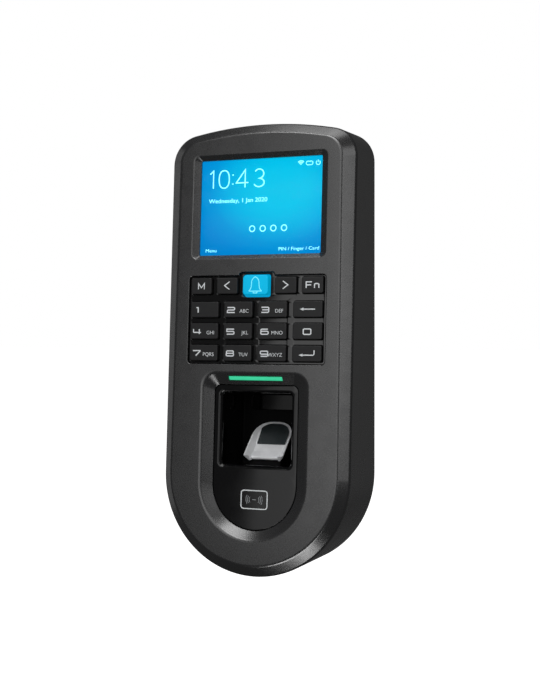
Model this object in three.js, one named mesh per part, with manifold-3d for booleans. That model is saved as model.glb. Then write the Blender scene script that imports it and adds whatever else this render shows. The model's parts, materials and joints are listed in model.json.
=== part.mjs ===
// A wall-mounted access terminal: colour screen, keypad with a bell key, optical fingerprint
// reader in a finger well, card reader below it, and a steel plate that holds it on the wall.
//
// Millimetres. X is to the right, Y goes into the wall, Z is up. The origin is on the wall,
// in the middle of the terminal's width and height. The front leans back by TILT: pieces that
// follow the front are drawn in the face frame (x, depth behind the face, height along it).

import * as THREE from 'three';
import { LoftGeometry } from 'three/addons/geometries/LoftGeometry.js';
import { mergeVertices } from 'three/addons/utils/BufferGeometryUtils.js';
import Module from 'manifold-3d';

const wasm = await Module();
wasm.setup();

// ---- Driving dimensions ---------------------------------------------------------------

const HALF_WIDTH = 40;
const TOP = 90;
const BOTTOM = -90;
const CROWN_RADIUS = 154;
const CORNER_RADIUS = 12;

const FACE_Y = -33.88; // the front at mid-height
const TILT = THREE.MathUtils.degToRad(3.893);
const RIM_Y = -4; // rear edge of the front shell
const WALL = 2.4; // moulded wall of the front shell
const CHAMFER_DEPTH = 3.35;
const GAP = 0.3; // clearance between neighbouring pieces

// The flat plateau inside the shell's chamfer.
const PLATEAU = { halfTop: 34.8, halfBottom: 35.8, top: 86.3, bottom: -85.3, crown: 150, corner: 8.5 };

// Screen, in the face frame: [left, right, low, high].
const SCREEN_BEZEL = [-28.9, 28.9, 36.2, 78.4];
const SCREEN_WINDOW = [-26.25, 26.25, 37.85, 76.4];
const SCREEN_RECESS = 1.5;

// Keypad.
const KEYPAD_AREA = [-29.7, 29.6, -6, 29.5];
const BELL_BUMP = [-7.6, 7.6, 20, 30.8]; // the recess rises a little round the bell key
const KEYPAD_RECESS = 0.9;
const PANEL_THICK = 1.5;
const KEY_PROUD = 0.4;
const BELL_PROUD = 0.7;
const KEY_RADIUS = 0.7;
const KEY_FLANGE = { grow: 0.6, thick: 0.7 };
const KEY_TRAVEL = 0.8;

// Name, centre x, centre height, width and height of each key in the top row.
const TOP_ROW = [
	['key_menu', -24, 25.3, 9, 6.5],
	['key_left', -12.65, 25.3, 9.1, 6.5],
	['key_bell', -0.2, 25.3, 11.4, 8.5],
	['key_right', 12.6, 25.3, 9.2, 6.5],
	['key_function', 23.95, 25.3, 9, 6.5],
];
const GRID_COLUMNS = [-22.35, -7.5, 7.3, 22.2];
const GRID_ROWS = [15.8, 7.15, -1.55];
const GRID_KEY = { width: 12.35, height: 6.3 };
const GRID_NAMES = [
	['key_1', 'key_2', 'key_3', 'key_back'],
	['key_4', 'key_5', 'key_6', 'key_0'],
	['key_7', 'key_8', 'key_9', 'key_enter'],
];

// Reader: a bevelled, round-ended recess with a glossy fascia on its floor.
const RECESS_OUTER = { half: 22.75, top: -9.3, bottom: -75.7, corner: 6 };
const RECESS_INNER = { half: 18.2, top: -14, bottom: -71.8, corner: 2.6 };
const RECESS_DEPTH = 2.6;
const FASCIA = { front: 2.7, thick: 2 };
const FINGER_OPENING = [-15.95, 15.95, -47, -16.3];
const FINGER_LIP = 1; // bevel round the finger opening
const WELL_INSIDE = [-15.6, 15.6, -46.9, -16.4];
const WELL = { front: 5, floor: 25.4, wall: 1.3 };
const LIGHT_BAR = { half: 11.37, low: -12.2, high: -10.8, rear: 6 };

// Finger guide: an arch-ended tray that slopes back into the well at 45 degrees. The platen
// starts near the tray's floor and rises to the rim at the far end; a plug holds it in the floor.
const GUIDE = {
	half: 8.6, length: 19.4, thick: 3.8, depth: 10.6, height: -42.5,
	rim: 0.8, sink: 2.5, floorHalf: 6.3, lip: 1.5,
};
const GUIDE_SLOPE = Math.PI / 4;
const PLATEN = { start: 8.8, nearDepth: 2.1, farDepth: 0.35, plugHalf: 5, plugEnd: 17.6, plugDepth: 3.6 };

// Boards, seen from the front: the main board stands upright behind the keypad and screen.
const BOARD_THICK = 1.6;
const BOARD_FRONT = -15.4;
const BOARD_REAR = BOARD_FRONT + BOARD_THICK;
const BOARD = [-26.5, 26.5, -11, 73];
const BOARD_POSTS = [[-22, 68], [22, 68], [-22, -6.5], [22, -6.5]];

// Rear shell, wall plate and what joins them.
const REAR = { inset: 2.8, wall: 1.8, front: -9, floorFront: -3.8, floorRear: -1.8, foot: -0.3 };
const REAR_POCKET_INSET = 6;
const PLATE = { inset: 6.4, thick: 1.5 };
const REAR_WINDOW = [-19, 19, 8, 54];
const PLATE_WINDOW = [-20, 20, 7, 55];
const WALL_SLOTS = [[-25, 62], [25, 62], [-24, -56], [24, -56]];
const WALL_SLOT = { radius: 2.3, run: 4 };
const HOOKS = [[-26, 24], [26, 24], [-22, -36], [22, -36]];
const HOOK = { half: 0.8, neck: 5, lip: 5, slotDrop: 5.7 };
const HOUSING_SCREWS = [[-24, 80.8], [24, 80.8], [-30.5, -35], [30.5, -35]];
const LOCK = { y: -9, boss: 4.5, bossTop: -84.2, headRadius: 2.7, headTop: -87.8, headLow: -89.3 };
const FLANGE = { half: 9, front: -13.5, low: -83.9, high: -82.4 };
const TAMPER = { x: -14, z: -3.2, radius: 1.5, travel: 1.2 };

// ---- Outlines: closed lists of points, counter-clockwise seen from the front ----------------

function arc(cx, cz, radius, from, to, steps) {
	const points = [];
	for (let i = 0; i <= steps; i++) {
		const angle = from + (to - from) * i / steps;
		points.push(new THREE.Vector2(cx + radius * Math.cos(angle), cz + radius * Math.sin(angle)));
	}
	return points;
}

// Round bottom, straight sides, rounded shoulders and a gently crowned top.
function bodyOutline({ halfTop, halfBottom, top, bottom, crown, corner }) {
	const crownCentre = top - crown;
	const shoulderX = halfTop - corner;
	const shoulderZ = crownCentre + Math.sqrt((crown - corner) ** 2 - shoulderX ** 2);
	const meet = Math.atan2(shoulderZ - crownCentre, shoulderX);
	const points = [
		...arc(0, bottom + halfBottom, halfBottom, Math.PI, 2 * Math.PI, 36),
		...arc(shoulderX, shoulderZ, corner, 0, meet, 6),
		...arc(0, crownCentre, crown, meet, Math.PI - meet, 10).slice(1, -1),
		...arc(-shoulderX, shoulderZ, corner, Math.PI - meet, Math.PI, 6),
	];
	return points;
}

function insetBody(inset) {
	return bodyOutline({
		halfTop: HALF_WIDTH - inset,
		halfBottom: HALF_WIDTH - inset,
		top: TOP - inset,
		bottom: BOTTOM + inset,
		crown: CROWN_RADIUS - inset,
		corner: CORNER_RADIUS - inset,
	});
}

function rectangle([left, right, low, high], radius = 0, steps = 3, grow = 0) {
	const [x0, x1, z0, z1] = [left - grow, right + grow, low - grow, high + grow];
	if (radius === 0) {
		return [[x0, z0], [x1, z0], [x1, z1], [x0, z1]].map(([x, z]) => new THREE.Vector2(x, z));
	}
	return [
		...arc(x0 + radius, z0 + radius, radius, Math.PI, 1.5 * Math.PI, steps),
		...arc(x1 - radius, z0 + radius, radius, 1.5 * Math.PI, 2 * Math.PI, steps),
		...arc(x1 - radius, z1 - radius, radius, 0, 0.5 * Math.PI, steps),
		...arc(x0 + radius, z1 - radius, radius, 0.5 * Math.PI, Math.PI, steps),
	];
}

// Straight top with rounded corners, half-round bottom.
function readerOutline({ half, top, bottom, corner }, grow = 0) {
	const side = half + grow;
	const round = corner + grow;
	return [
		...arc(0, bottom + half, side, Math.PI, 2 * Math.PI, 24),
		...arc(side - round, top + grow - round, round, 0, 0.5 * Math.PI, 5),
		...arc(round - side, top + grow - round, round, 0.5 * Math.PI, Math.PI, 5),
	];
}

// The guide in its own slope frame: straight front edge and sides, arched far end.
function archOutline(half, start, end) {
	const rise = half * 1.05;
	const points = [new THREE.Vector2(-half, start), new THREE.Vector2(half, start)];
	for (const { x, y } of arc(0, 0, 1, 0, Math.PI, 16)) {
		const across = Math.sign(x) * Math.abs(x) ** 0.8;
		points.push(new THREE.Vector2(half * across, end - rise + rise * Math.abs(y) ** 0.8));
	}
	return points;
}

// ---- Solids ---------------------------------------------------------------------------

function solid(geometry) {
	const bare = new THREE.BufferGeometry();
	bare.setAttribute('position', geometry.attributes.position);
	bare.setIndex(geometry.index);
	const merged = mergeVertices(bare, 1e-5);
	return new wasm.Manifold(new wasm.Mesh({
		numProp: 3,
		vertProperties: new Float32Array(merged.attributes.position.array),
		triVerts: new Uint32Array(merged.index.array),
	}));
}

// Skins a list of [outline, y] sections, ordered from the rear to the front. y may be a
// function of the point's height.
function loft(sections) {
	const rings = sections.map(([outline, y]) => outline.map((point) => {
		const depth = typeof y === 'function' ? y(point.y) : y;
		return new THREE.Vector3(point.x, depth, point.y);
	}));
	return solid(new LoftGeometry(rings, { capStart: true, capEnd: true }));
}

function prism(outline, front, rear) {
	return loft([[outline, rear], [outline, front]]);
}

function block([x0, x1], [y0, y1], [z0, z1]) {
	const geometry = new THREE.BoxGeometry(x1 - x0, y1 - y0, z1 - z0);
	geometry.translate((x0 + x1) / 2, (y0 + y1) / 2, (z0 + z1) / 2);
	return solid(geometry);
}

// A round bar along Y, as every post, boss and screw here is, or along Z.
function bar(radius, x, z, front, rear, sides = 20) {
	const geometry = new THREE.CylinderGeometry(radius, radius, rear - front, sides);
	geometry.translate(x, (front + rear) / 2, z);
	return solid(geometry);
}

function upright(radius, x, y, low, high, sides = 20) {
	const geometry = new THREE.CylinderGeometry(radius, radius, high - low, sides);
	geometry.rotateX(Math.PI / 2);
	geometry.translate(x, y, (low + high) / 2);
	return solid(geometry);
}

function join(first, ...others) {
	return others.reduce((sum, other) => sum.add(other), first);
}

function cut(first, ...tools) {
	return tools.reduce((rest, tool) => rest.subtract(tool), first);
}

// ---- Frames ---------------------------------------------------------------------------

const terminal = new THREE.Group();

const face = new THREE.Group();
face.position.set(0, FACE_Y, 0);
face.rotation.x = -TILT;
face.updateMatrix();
terminal.add(face);

const slope = new THREE.Group();
slope.position.set(0, GUIDE.depth, GUIDE.height);
slope.rotation.x = -GUIDE_SLOPE;
slope.updateMatrix();

function fromFace(shape) {
	return shape.transform(face.matrix.elements);
}

function fromSlope(shape) {
	return shape.transform(slope.matrix.elements);
}

// Y of the leaning front at a height, plus a depth behind it.
function faceDepth(depth) {
	return (z) => FACE_Y + Math.tan(TILT) * z + depth;
}

// ---- Materials ------------------------------------------------------------------------

function finish(color, roughness, metalness = 0, extra = {}) {
	return new THREE.MeshStandardMaterial({ color, roughness, metalness, ...extra });
}

const shellPlastic = finish(0x3b3b3d, 0.45);
const rearPlastic = finish(0x1d1d1f, 0.6);
const keyPlastic = finish(0x29292b, 0.5);
const webPlastic = finish(0x0b0b0c, 0.15);
const bellPlastic = finish(0x12a9dc, 0.35, 0, { emissive: 0x064a66 });
const glossPlastic = finish(0x060607, 0.08);
const silverPlastic = finish(0xc4c6c9, 0.3, 0.7);
const platenGlass = finish(0x202629, 0.05);
const screenGlass = finish(0x8ccff0, 0.05, 0, { transparent: true, opacity: 0.35 });
const screenGlow = finish(0x0aa2e6, 0.4, 0, { emissive: 0x0878b8 });
const ledGlow = finish(0x35e0a0, 0.3, 0, { emissive: 0x1fae78 });
const circuitBoard = finish(0x1c5b36, 0.5);
const siliconeRubber = finish(0x8c8f90, 0.8);
const steel = finish(0xa4a7aa, 0.35, 0.9);
const chipPlastic = finish(0x161718, 0.55);
const connectorPlastic = finish(0x2f6e46, 0.5);
const brightNickel = finish(0xc9c7c0, 0.25, 0.9);

function piece(name, shape, material, parent = terminal) {
	const source = shape.getMesh();
	const indexed = new THREE.BufferGeometry();
	indexed.setAttribute('position', new THREE.BufferAttribute(source.vertProperties, 3));
	indexed.setIndex(new THREE.BufferAttribute(source.triVerts, 1));
	const geometry = indexed.toNonIndexed();
	geometry.computeVertexNormals();
	const mesh = new THREE.Mesh(geometry, material);
	mesh.name = name;
	parent.add(mesh);
}

// ---- Front shell ----------------------------------------------------------------------

function keypadPrism(front, rear, shrink = 0) {
	const outline = rectangle(KEYPAD_AREA, 1.6, 3, -shrink);
	const bump = rectangle(BELL_BUMP, 1.6, 3, -shrink);
	return join(prism(outline, front, rear), prism(bump, front, rear));
}

function frontShell() {
	const outer = loft([
		[insetBody(0), RIM_Y],
		[insetBody(0), faceDepth(CHAMFER_DEPTH)],
		[bodyOutline(PLATEAU), faceDepth(0)],
	]);
	const innerPlateau = {
		halfTop: PLATEAU.halfTop - 1.2,
		halfBottom: PLATEAU.halfBottom - 1.2,
		top: PLATEAU.top - 1.2,
		bottom: PLATEAU.bottom + 1.2,
		crown: PLATEAU.crown - 1.2,
		corner: PLATEAU.corner - 1.2,
	};
	const inner = loft([
		[insetBody(WALL), RIM_Y + 1],
		[insetBody(WALL), faceDepth(CHAMFER_DEPTH + 1.1)],
		[bodyOutline(innerPlateau), faceDepth(WALL)],
	]);
	const collar = fromFace(prism(readerOutline(RECESS_OUTER, 0.9), WALL - 0.6, 5.2));
	const bosses = HOUSING_SCREWS.map(([x, z]) => bar(3, x, z, faceDepth(WALL - 1)(z), -9.3));
	const lockBoss = upright(LOCK.boss, 0, LOCK.y, -88.6, LOCK.bossTop);

	const recess = fromFace(loft([
		[readerOutline(RECESS_INNER), 8],
		[readerOutline(RECESS_INNER), RECESS_DEPTH],
		[readerOutline(RECESS_OUTER), 0],
		[readerOutline(RECESS_OUTER), -2],
	]));
	const screen = fromFace(loft([
		[rectangle(SCREEN_WINDOW, 0.4), 6],
		[rectangle(SCREEN_WINDOW, 0.4), SCREEN_RECESS],
		[rectangle(SCREEN_BEZEL, 2.4), 0],
		[rectangle(SCREEN_BEZEL, 2.4), -2],
	]));
	const lightSlot = fromFace(block(
		[-LIGHT_BAR.half - GAP, LIGHT_BAR.half + GAP],
		[-1, 8],
		[LIGHT_BAR.low - GAP, LIGHT_BAR.high + GAP],
	));
	const pilots = HOUSING_SCREWS.map(([x, z]) => bar(1.4, x, z, -20, 0, 12));
	const lockHole = upright(1.7, 0, LOCK.y, -95, -80, 12);
	const lockBore = upright(LOCK.headRadius + GAP, 0, LOCK.y, -95, LOCK.headTop + GAP);

	const shell = join(outer.subtract(inner), collar, ...bosses, lockBoss);
	return cut(shell, recess, screen, fromFace(keypadPrism(-2, 6)), lightSlot,
		...pilots, lockHole, lockBore);
}

// ---- Screen ---------------------------------------------------------------------------

function screenPieces() {
	const lens = prism(rectangle(SCREEN_WINDOW, 0.3, 2, -GAP), 1.6, 2.9);
	piece('screen_lens', lens, screenGlass, face);

	const panel = block([-28.4, 28.4], [3.2, 5.4], [36.4, 77.2]);
	piece('lcd_panel', panel, screenGlow, face);

	const tray = block([-29.2, 29.2], [3.6, 7.2], [35.6, 77.9]);
	const inside = block([-28.7, 28.7], [2, 5.7], [36.1, 77.5]);
	piece('lcd_bracket', cut(tray, inside), steel, face);
}

// ---- Keypad ---------------------------------------------------------------------------

const KEYS = [
	...TOP_ROW,
	...GRID_NAMES.flatMap((names, row) => names.map((name, column) => (
		[name, GRID_COLUMNS[column], GRID_ROWS[row], GRID_KEY.width, GRID_KEY.height]))),
];

function keyArea([, x, z, width, height]) {
	return [x - width / 2, x + width / 2, z - height / 2, z + height / 2];
}

function keypadPieces() {
	const panelRear = KEYPAD_RECESS + PANEL_THICK;
	const flangeFront = panelRear + GAP;
	const flangeRear = flangeFront + KEY_FLANGE.thick;
	const matFront = flangeRear + KEY_TRAVEL + GAP;

	const holes = KEYS.map((key) => prism(rectangle(keyArea(key), KEY_RADIUS + GAP, 2, GAP), 0, 4));
	const panel = keypadPrism(KEYPAD_RECESS, panelRear, GAP);
	piece('keypad_panel', cut(panel, ...holes), webPlastic, face);

	for (const key of KEYS) {
		const isBell = key[0] === 'key_bell';
		const front = isBell ? -BELL_PROUD : -KEY_PROUD;
		const area = keyArea(key);
		const cap = loft([
			[rectangle(area, KEY_RADIUS, 2), flangeFront + 0.1],
			[rectangle(area, KEY_RADIUS, 2), front + 0.3],
			[rectangle(area, KEY_RADIUS - 0.2, 2, -0.25), front],
		]);
		const flange = prism(rectangle(area, 0, 1, KEY_FLANGE.grow), flangeFront, flangeRear);
		piece(key[0], join(cap, flange), isBell ? bellPlastic : keyPlastic, face);
	}

	const mat = block([-30.4, 30.4], [matFront, matFront + 0.8], [-6.9, 31]);
	piece('keypad_mat', mat, siliconeRubber, face);
	const board = block([-30.4, 30.4], [matFront + 1.1, matFront + 2.3], [-6.9, 31]);
	piece('keypad_board', board, circuitBoard, face);
}

// ---- Reader ---------------------------------------------------------------------------

// Cut away from the guide and its module: what would pass the well's floor or rear wall.
function insideWell(shape) {
	const below = block([-20, 20], [-10, 40], [-60, WELL_INSIDE[2] + GAP]);
	const behind = block([-20, 20], [WELL.floor - GAP, 60], [-80, 20]);
	return cut(shape, below, behind);
}

// The tray's hollow, its walls leaning out from the floor to the rim; inset makes it smaller.
function trayHollow(inset = 0) {
	const { half, length, rim, sink, floorHalf } = GUIDE;
	return loft([
		[archOutline(floorHalf - inset, -3, length - 0.6 - inset), sink - inset],
		[archOutline(half - rim - inset, -3, length - 0.4 - inset), 0],
		[archOutline(half - rim - inset, -3, length - 0.4 - inset), -1],
	]);
}

function platenPlug(grow = 0) {
	const { start, plugHalf, plugEnd } = PLATEN;
	return archOutline(plugHalf + grow, start + 0.6 - grow, plugEnd + grow);
}

function fingerGuide() {
	const { half, length, thick, floorHalf, lip } = GUIDE;
	const body = prism(archOutline(half, 0, length), 0, thick);
	const front = block([-floorHalf, floorHalf], [0, thick + 1], [-3, lip]);
	const window = prism(platenPlug(GAP), -1, 6);
	const underside = block([-20, 20], [-10, 40], [-60, GUIDE.height - 1.9]);
	return cut(insideWell(fromSlope(cut(body, trayHollow(), front, window))), underside);
}

function sensorPlaten() {
	const { start, nearDepth, farDepth, plugDepth } = PLATEN;
	const rise = Math.atan2(nearDepth - farDepth, GUIDE.length - start);
	const above = block([-12, 12], [-10, 0], [-1, 20])
		.rotate([THREE.MathUtils.radToDeg(rise), 0, 0])
		.translate([0, nearDepth, start]);
	const before = block([-12, 12], [-10, 10], [-5, start]);
	const glass = cut(trayHollow(GAP), above, before);
	const plug = prism(platenPlug(), nearDepth, plugDepth);
	return insideWell(fromSlope(glass.add(plug)));
}

function sensorModule() {
	const half = PLATEN.plugHalf + 1.7;
	const wedge = fromSlope(block([-half, half], [GUIDE.thick + GAP, 16], [-6, 30]));
	const front = block([-20, 20], [-10, GUIDE.depth + 2.2], [-80, 20]);
	return cut(insideWell(wedge), front);
}

function readerPieces() {
	const fascia = prism(readerOutline(RECESS_INNER, -GAP), FASCIA.front, FASCIA.front + FASCIA.thick);
	const opening = loft([
		[rectangle(FINGER_OPENING, 1.6, 4, -FINGER_LIP), 8],
		[rectangle(FINGER_OPENING, 1.6, 4, -FINGER_LIP), FASCIA.front + 1.2],
		[rectangle(FINGER_OPENING, 2.4, 4), FASCIA.front],
		[rectangle(FINGER_OPENING, 2.4, 4), 0],
	]);
	piece('reader_fascia', cut(fascia, opening), glossPlastic, face);

	const wellOutside = rectangle(WELL_INSIDE, 2.4, 3, WELL.wall);
	const well = prism(wellOutside, WELL.front, WELL.floor + WELL.wall);
	const hollow = prism(rectangle(WELL_INSIDE, 1.4, 3), WELL.front - 1, WELL.floor);
	piece('sensor_well', cut(well, hollow), glossPlastic, face);

	const wellWindow = rectangle([-11.6, 11.6, -24, -17.5], 1.8, 4);
	piece('well_window', prism(wellWindow, WELL.floor - 1, WELL.floor - GAP), glossPlastic, face);

	piece('finger_guide', fingerGuide(), silverPlastic, face);
	piece('sensor_platen', sensorPlaten(), platenGlass, face);
	piece('sensor_module', sensorModule(), chipPlastic, face);

	const boardFront = WELL.floor + WELL.wall + GAP;
	const sensorBoard = block([-15, 15], [boardFront, boardFront + 1.4], [-48, -16]);
	piece('sensor_board', sensorBoard, circuitBoard, face);

	const bevelSlope = RECESS_DEPTH / (RECESS_OUTER.top - RECESS_INNER.top);
	const bevelDepth = (z) => (RECESS_OUTER.top - z) * bevelSlope - 0.05;
	const strip = rectangle([-LIGHT_BAR.half, LIGHT_BAR.half, LIGHT_BAR.low, LIGHT_BAR.high]);
	piece('led_light_guide', loft([[strip, LIGHT_BAR.rear], [strip, bevelDepth]]), ledGlow, face);
	const ledBoard = block([-13, 13], [LIGHT_BAR.rear + GAP, LIGHT_BAR.rear + 1.3], [-14, -8.6]);
	piece('led_board', ledBoard, circuitBoard, face);

	const antenna = block([-14, 14], [FASCIA.front + FASCIA.thick + GAP, 6], [-64, -49]);
	const antennaEye = block([-9.5, 9.5], [0, 10], [-60.5, -52.5]);
	piece('card_antenna', cut(antenna, antennaEye), circuitBoard, face);
}

// ---- Electronics ----------------------------------------------------------------------

function electronics() {
	const screwHoles = BOARD_POSTS.map(([x, z]) => bar(1.3, x, z, -20, -10, 12));
	const board = prism(rectangle(BOARD, 2, 2), BOARD_FRONT, BOARD_REAR);
	piece('main_board', cut(board, ...screwHoles), circuitBoard);

	const onFront = BOARD_FRONT - GAP;
	const onRear = BOARD_REAR + GAP;
	piece('processor', block([-20, -4], [onFront - 2.2, onFront], [36, 52]), chipPlastic);
	piece('relay', block([7, 22], [onFront - 8.6, onFront], [0, 11]), chipPlastic);
	piece('coin_cell', bar(10, -11, 14, onFront - 3.2, onFront, 28), steel);
	piece('buzzer', bar(6, 12, 26, onFront - 4, onFront, 24), chipPlastic);

	// The network socket lies on the rear of the board with its mouth facing down.
	const jack = block([-18, -2], [onRear, -2.1], [38, 52]);
	const mouth = block([-15.9, -4.1], [onRear + 2.2, onRear + 9.2], [30, 50]);
	piece('network_socket', cut(jack, mouth), brightNickel);

	// Plug-in wire terminals beside it, their wire entries facing down.
	for (const [name, left] of [['terminal_power', 0.6], ['terminal_signal', 10]]) {
		const body = block([left, left + 8.6], [onRear, -4.6], [43, 52]);
		const entries = [0, 1].map((way) => block(
			[left + 1 + way * 3.6, left + 4 + way * 3.6], [onRear + 2, onRear + 6], [40, 49]));
		piece(name, cut(body, ...entries), connectorPlastic);
	}

	const { x, z, radius, travel } = TAMPER;
	const switchRear = -8;
	const switchBody = block([x - 4, x + 4], [onRear, switchRear], [z - 3, z + 3]);
	const socket = bar(radius + GAP, x, z, switchRear - 3.2, switchRear + 1, 16);
	piece('tamper_switch', cut(switchBody, socket), chipPlastic);
	const plungerFront = switchRear - 3.2 + GAP + travel;
	piece('tamper_plunger', bar(radius, x, z, plungerFront, 0, 16), siliconeRubber);
}

// ---- Rear shell, wall plate and screws ------------------------------------------------------

function hookSlot([x, z]) {
	return block(
		[x - HOOK.half - 0.4, x + HOOK.half + 0.4],
		[REAR.floorFront - 1, REAR.floorRear + 1],
		[z - HOOK.slotDrop, z + HOOK.neck + 0.4],
	);
}

function rearShell() {
	const body = prism(insetBody(REAR.inset), REAR.front, REAR.foot);
	const inside = prism(insetBody(REAR.inset + REAR.wall), REAR.front - 3, REAR.floorFront);
	const pocket = prism(insetBody(REAR_POCKET_INSET), REAR.floorRear, 2);
	const bosses = HOUSING_SCREWS.map(([x, z]) => bar(4, x, z, REAR.front, REAR.floorFront + 0.5));
	const posts = BOARD_POSTS.map(([x, z]) => bar(2.6, x, z, BOARD_REAR + GAP, REAR.floorFront + 0.5, 16));

	const screwHoles = HOUSING_SCREWS.map(([x, z]) => bar(1.4, x, z, -12, 0, 12));
	const screwBores = HOUSING_SCREWS.map(([x, z]) => bar(2.9, x, z, -4.4, 2));
	const postHoles = BOARD_POSTS.map(([x, z]) => bar(1.1, x, z, -20, -8, 12));
	const window = prism(rectangle(REAR_WINDOW, 2, 3), -6, 2);
	const plungerHole = bar(TAMPER.radius + 0.5, TAMPER.x, TAMPER.z, -6, 2, 16);
	const bossNotch = block([-5.2, 5.2], [REAR.front - 2, -4.1], [-92, -83.8]);
	const flangeSlot = block([-FLANGE.half - 0.5, FLANGE.half + 0.5], [-6, 1],
		[FLANGE.low - 0.5, FLANGE.high + 0.5]);

	const shell = join(cut(body, inside, pocket), ...bosses, ...posts);
	return cut(shell, window, plungerHole, bossNotch, flangeSlot,
		...screwHoles, ...screwBores, ...postHoles, ...HOOKS.map(hookSlot));
}

function wallPlate() {
	const sheet = prism(insetBody(PLATE.inset), -PLATE.thick, 0);
	const lipFront = REAR.floorFront - GAP - 1.5;
	const hooks = HOOKS.map(([x, z]) => join(
		block([x - HOOK.half, x + HOOK.half], [lipFront, -0.5], [z, z + HOOK.neck]),
		block([x - HOOK.half, x + HOOK.half], [lipFront, lipFront + 1.5],
			[z + HOOK.neck - 0.5, z + HOOK.neck + HOOK.lip]),
	));
	const flange = block([-FLANGE.half, FLANGE.half], [FLANGE.front, -0.5], [FLANGE.low, FLANGE.high]);

	const window = prism(rectangle(PLATE_WINDOW, 2.5, 3), -4, 2);
	const slots = WALL_SLOTS.map(([x, z]) => prism(rectangle(
		[x - WALL_SLOT.radius, x + WALL_SLOT.radius, z - WALL_SLOT.run, z + WALL_SLOT.run],
		WALL_SLOT.radius, 5), -4, 2));
	const plungerHole = bar(TAMPER.radius + 0.5, TAMPER.x, TAMPER.z, -4, 2, 16);
	const lockHole = upright(1.6, 0, LOCK.y, -90, -80, 12);
	const notches = HOUSING_SCREWS.slice(0, 2).map(([x, z]) => bar(3.8, x, z, -4, 2));
	return cut(join(sheet, ...hooks, flange), window, plungerHole, lockHole, ...notches, ...slots);
}

function screw(x, z, headRadius, shankRadius, headFront, headRear, shankFront) {
	const head = bar(headRadius, x, z, headFront, headRear, 16);
	const shank = bar(shankRadius, x, z, shankFront, headFront + 0.2, 12);
	const drive = block([x - headRadius * 0.6, x + headRadius * 0.6],
		[headRear - 0.6, headRear + 1], [z - 0.35, z + 0.35]);
	return cut(join(head, shank), drive);
}

function fasteners() {
	HOUSING_SCREWS.forEach(([x, z], index) => {
		piece(`housing_screw_${index + 1}`, screw(x, z, 2.5, 1.1, -4.1, -2.3, -17), steel);
	});
	BOARD_POSTS.forEach(([x, z], index) => {
		const head = bar(2.2, x, z, BOARD_FRONT - GAP - 1.4, BOARD_FRONT - GAP, 16);
		const shank = bar(0.8, x, z, BOARD_FRONT - GAP - 0.2, -8.6, 12);
		piece(`board_screw_${index + 1}`, join(head, shank), steel);
	});
	const lockHead = upright(LOCK.headRadius, 0, LOCK.y, LOCK.headLow, LOCK.headTop, 16);
	const lockShank = upright(1.3, 0, LOCK.y, LOCK.headTop - 0.2, -81.4, 12);
	const lockDrive = upright(1.1, 0, LOCK.y, LOCK.headLow - 1, LOCK.headLow + 0.9, 6);
	piece('lock_screw', cut(join(lockHead, lockShank), lockDrive), steel);
}

// ---- Assembly -------------------------------------------------------------------------

piece('front_shell', frontShell(), shellPlastic);
screenPieces();
keypadPieces();
readerPieces();
electronics();
piece('rear_shell', rearShell(), rearPlastic);
piece('wall_plate', wallPlate(), steel);
fasteners();

export default terminal;
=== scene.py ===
"""Looks for the wall-mounted access terminal: leaning dark shell, lit screen, keypad with a cyan
bell key, a finger well with a silver guide, and a card reader below it.

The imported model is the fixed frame. Most outer pieces are drawn again here with rounded edges, in
the face frame: x to the right, y behind the leaning front, z up along it, in millimetres.
"""

import json
import math

import bmesh
import bpy
from mathutils import Matrix, Vector
from mathutils.geometry import delaunay_2d_cdt


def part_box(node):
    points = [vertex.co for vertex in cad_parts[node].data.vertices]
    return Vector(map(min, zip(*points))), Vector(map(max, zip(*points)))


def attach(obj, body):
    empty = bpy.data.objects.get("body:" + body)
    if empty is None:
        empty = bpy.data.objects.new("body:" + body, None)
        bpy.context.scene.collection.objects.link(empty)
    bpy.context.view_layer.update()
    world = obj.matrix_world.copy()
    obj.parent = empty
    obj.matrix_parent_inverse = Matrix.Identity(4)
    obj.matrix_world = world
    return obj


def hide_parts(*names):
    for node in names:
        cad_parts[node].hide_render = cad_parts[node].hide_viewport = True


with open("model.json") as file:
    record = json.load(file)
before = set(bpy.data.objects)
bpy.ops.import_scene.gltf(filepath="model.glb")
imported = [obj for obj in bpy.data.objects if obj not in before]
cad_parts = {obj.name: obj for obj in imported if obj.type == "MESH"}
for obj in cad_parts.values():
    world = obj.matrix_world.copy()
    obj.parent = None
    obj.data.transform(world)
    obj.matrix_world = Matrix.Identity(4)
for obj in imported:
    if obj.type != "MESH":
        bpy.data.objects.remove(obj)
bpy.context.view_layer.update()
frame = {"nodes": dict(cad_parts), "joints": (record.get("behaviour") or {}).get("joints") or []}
NODES = frame["nodes"]
MM = 0.001

# ---- The face frame, from the keys' press direction and the shell's foremost edge ----

press = next(Vector(j["axis"]) for j in frame["joints"] if j["name"].startswith("key_"))
TILT = math.atan2(-press.z, press.y)
LEAN = math.tan(TILT)


def millimetres(node):
    low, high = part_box(node)
    return Vector(low) / MM, Vector(high) / MM


SHELL_LOW, SHELL_HIGH = millimetres("front_shell")
HALF_WIDTH = SHELL_HIGH.x
TOP = SHELL_HIGH.z
BOTTOM = SHELL_LOW.z
RIM_Y = SHELL_HIGH.y
PLATEAU_BOTTOM = BOTTOM + 4.7
FACE_Y = SHELL_LOW.y - LEAN * PLATEAU_BOTTOM
FACE = Matrix.Translation((0, FACE_Y, 0)) @ Matrix.Rotation(-TILT, 4, "X")
TO_FACE = FACE.inverted()


def face_box(node):
    """Lowest and highest corner of a CAD node in the face frame, in millimetres."""
    points = [TO_FACE @ (v.co / MM) for v in NODES[node].data.vertices]
    low = Vector(min(p[i] for p in points) for i in range(3))
    high = Vector(max(p[i] for p in points) for i in range(3))
    return low, high


# ---- Sizes in the face frame ----

WALL = 2.4
CROWN_RADIUS = 154
CORNER_RADIUS = 12
CHAMFER_WIDTH = 4.6
CHAMFER_DEPTH = 3.35
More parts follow.
